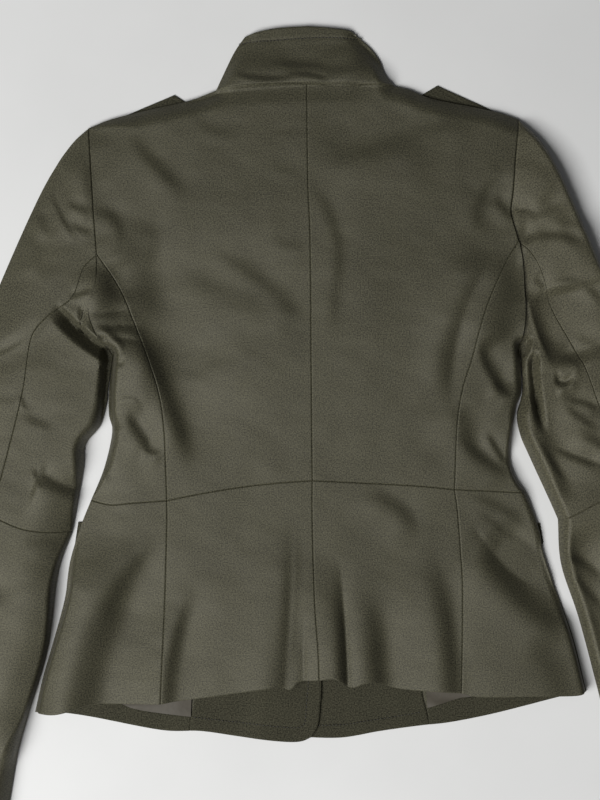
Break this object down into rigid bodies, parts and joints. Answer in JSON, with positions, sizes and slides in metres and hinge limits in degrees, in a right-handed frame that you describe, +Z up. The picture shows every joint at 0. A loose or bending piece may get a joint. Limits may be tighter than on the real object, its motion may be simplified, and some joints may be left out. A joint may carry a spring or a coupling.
{
  "type": "fitted military jacket",
  "caption": "Short fitted military-style jacket with stand collar, shoulder straps, shaped sleeves and flared peplum, laid flat face down.",
  "frame": {"origin": "centre of the laid-out jacket's outline, on the surface it lies on", "axes": "+Z up from the surface, away from the fronts and out of the back; +Y from hem to collar; +X to the right seen from above"},
  "size_m": [0.7668, 0.7125, 0.019],
  "materials": {
    "shell_cloth": "fine twill with a soft sheen",
    "lining_satin": "smooth satin",
    "button_horn": "semi-matt"
  },
  "bodies": {
    "root": {"collar": "shell_cloth", "back_centre_L": "shell_cloth", "back_side_L": "shell_cloth", "back_peplum_centre_L": "shell_cloth", "back_peplum_side_L": "shell_cloth", "front_L": "shell_cloth", "front_peplum_L": "shell_cloth", "front_facing_L": "shell_cloth", "front_turn_up_L": "shell_cloth", "sleeve_top_upper_L": "shell_cloth", "sleeve_top_lower_L": "shell_cloth", "sleeve_under_upper_L": "shell_cloth", "sleeve_under_lower_L": "shell_cloth", "epaulette_L": "shell_cloth", "pocket_flap_L": "shell_cloth", "back_centre_R": "shell_cloth", "back_side_R": "shell_cloth", "back_peplum_centre_R": "shell_cloth", "back_peplum_side_R": "shell_cloth", "front_R": "shell_cloth", "front_peplum_R": "shell_cloth", "front_facing_R": "shell_cloth", "front_turn_up_R": "shell_cloth", "sleeve_top_upper_R": "shell_cloth", "sleeve_top_lower_R": "shell_cloth", "sleeve_under_upper_R": "shell_cloth", "sleeve_under_lower_R": "shell_cloth", "epaulette_R": "shell_cloth", "pocket_flap_R": "shell_cloth", "lining_hem_L": "lining_satin", "lining_hem_R": "lining_satin", "button_1": "button_horn", "button_2": "button_horn", "button_3": "button_horn", "button_4": "button_horn", "button_5": "button_horn"}
  },
  "joints": []
}
